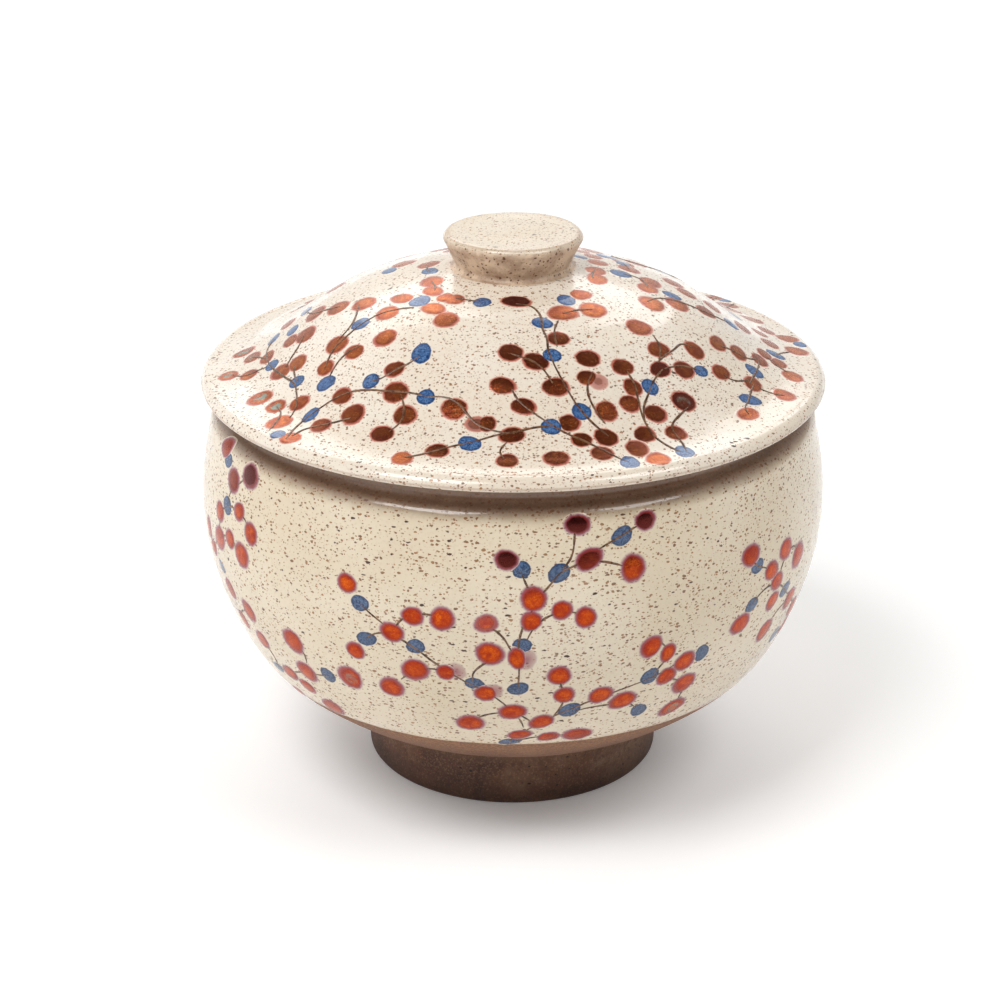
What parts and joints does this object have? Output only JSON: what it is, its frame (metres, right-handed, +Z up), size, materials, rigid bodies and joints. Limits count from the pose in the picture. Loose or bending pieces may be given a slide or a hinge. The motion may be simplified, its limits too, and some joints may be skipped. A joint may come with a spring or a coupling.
{
  "type": "lidded rice bowl",
  "caption": "Round stoneware rice bowl on a foot ring, with a lift-off domed lid that has a locating ring and a turned knob; speckled cream glaze with painted berry sprays.",
  "frame": {"origin": "centre of the foot ring's bottom plane, on the bowl's axis", "axes": "+Z up the bowl's axis through the lid's knob, -Y towards the viewer, +X to the right"},
  "size_m": [0.13, 0.13, 0.1148],
  "materials": {
    "bowl_glaze": "glossy speckled cream glaze",
    "bare_clay": "matte bare dark brown stoneware",
    "lid_glaze": "glossy speckled cream glaze",
    "flange_glaze": "satin speckled cream glaze",
    "knob_glaze": "satin, densely speckled glaze"
  },
  "bodies": {
    "bowl": {"bowl_body": "bowl_glaze", "foot_ring": "bare_clay"},
    "lid": {"lid_dome": "lid_glaze", "lid_flange": "flange_glaze", "lid_knob": "knob_glaze"}
  },
  "joints": [
    {"name": "lid_lift", "type": "slide", "parent": "bowl", "child": "lid", "axis": [0, 0, 1], "range_m": [0, 0.04]}
  ]
}
